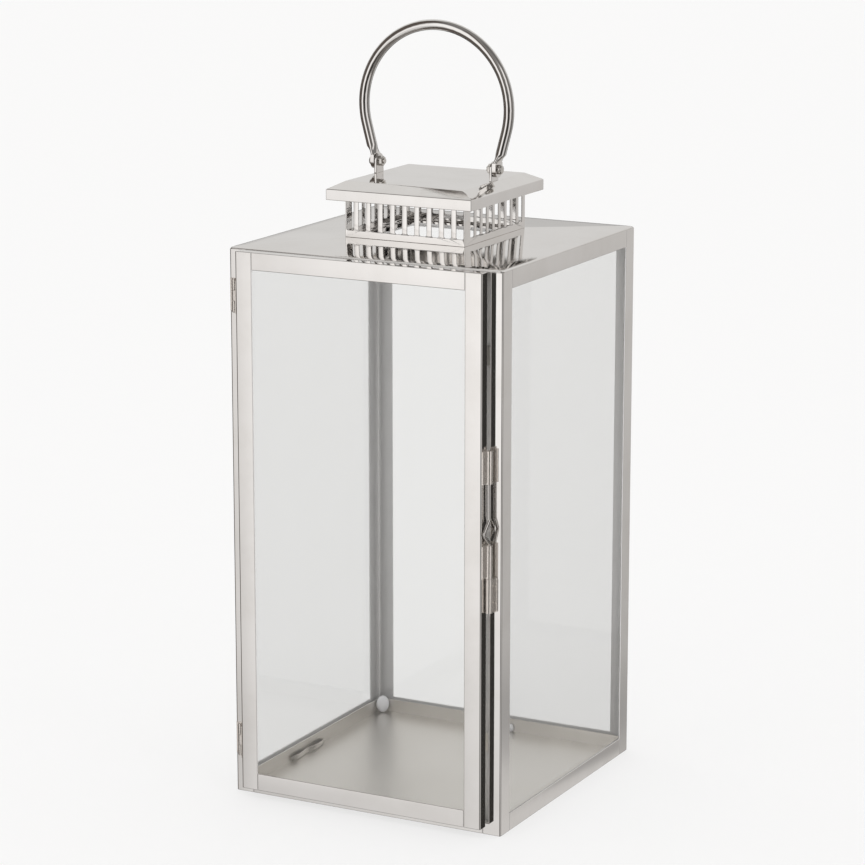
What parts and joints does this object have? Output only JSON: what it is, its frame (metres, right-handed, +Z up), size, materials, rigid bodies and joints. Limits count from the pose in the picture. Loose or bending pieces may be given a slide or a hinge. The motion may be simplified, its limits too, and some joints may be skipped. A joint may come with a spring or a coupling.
{
  "type": "candle lantern",
  "caption": "Square polished steel lantern with glass sides, a hinged latched door, a slotted chimney under a hipped cap and a swinging bail handle.",
  "frame": {"origin": "centre of the flat underside that the lantern stands on, on the axis of the square body", "axes": "+Z up along the lantern's height, -Y out through the door, +X towards the latch side"},
  "size_m": [0.23, 0.2423, 0.5956],
  "materials": {
    "polished_steel": "mirror-polished stainless steel",
    "satin_steel": "satin, with fine drawn lines",
    "hinge_steel": "bright rolled steel with a warm tint",
    "fastener_steel": "bright zinc-plated steel",
    "clear_glass": "clear float glass",
    "white_silicone": "soft matt white"
  },
  "bodies": {
    "frame": {"back_bumper": "white_silicone", "bottom_rail_back": "polished_steel", "bottom_rail_front": "polished_steel", "bottom_rail_left": "polished_steel", "bottom_rail_right": "polished_steel", "cap": "polished_steel", "chimney": "polished_steel", "corner_bumper": "white_silicone", "floor_tray": "satin_steel", "glass_back": "clear_glass", "glass_clips": "satin_steel", "glass_left": "clear_glass", "glass_right": "clear_glass", "handle_bracket_left": "polished_steel", "handle_bracket_right": "polished_steel", "latch_keeper": "hinge_steel", "lower_hinge_frame_leaf": "hinge_steel", "lower_hinge_pin": "hinge_steel", "pivot_bolts": "fastener_steel", "pivot_nuts": "fastener_steel", "post_back_left": "polished_steel", "post_back_right": "polished_steel", "post_front_left": "polished_steel", "post_front_right": "polished_steel", "top_plate": "polished_steel", "top_rail_back": "polished_steel", "top_rail_front": "polished_steel", "top_rail_left": "polished_steel", "top_rail_right": "polished_steel", "tray_clip": "satin_steel", "upper_hinge_frame_leaf": "hinge_steel", "upper_hinge_pin": "hinge_steel"},
    "door": {"door_glass": "clear_glass", "door_glass_clips": "satin_steel", "door_rail_bottom": "polished_steel", "door_rail_top": "polished_steel", "door_stile_left": "polished_steel", "door_stile_right": "polished_steel", "latch_knuckle_lower": "hinge_steel", "latch_knuckle_upper": "hinge_steel", "lower_hinge_door_leaf": "hinge_steel", "upper_hinge_door_leaf": "hinge_steel"},
    "latch": {"latch_pin": "polished_steel"},
    "handle": {"handle": "polished_steel"}
  },
  "joints": [
    {"name": "door_hinge", "type": "hinge", "parent": "frame", "child": "door", "pos_m": [-0.109, -0.118, 0.217], "axis": [0, 0, -1], "range_deg": [0, 130]},
    {"name": "latch_slide", "type": "slide", "parent": "door", "child": "latch", "axis": [0, 0, 1], "range_m": [0, 0.0255]},
    {"name": "handle_pivot", "type": "hinge", "parent": "frame", "child": "handle", "pos_m": [0, 0, 0.485], "axis": [1, 0, 0], "range_deg": [-98, 98]}
  ]
}
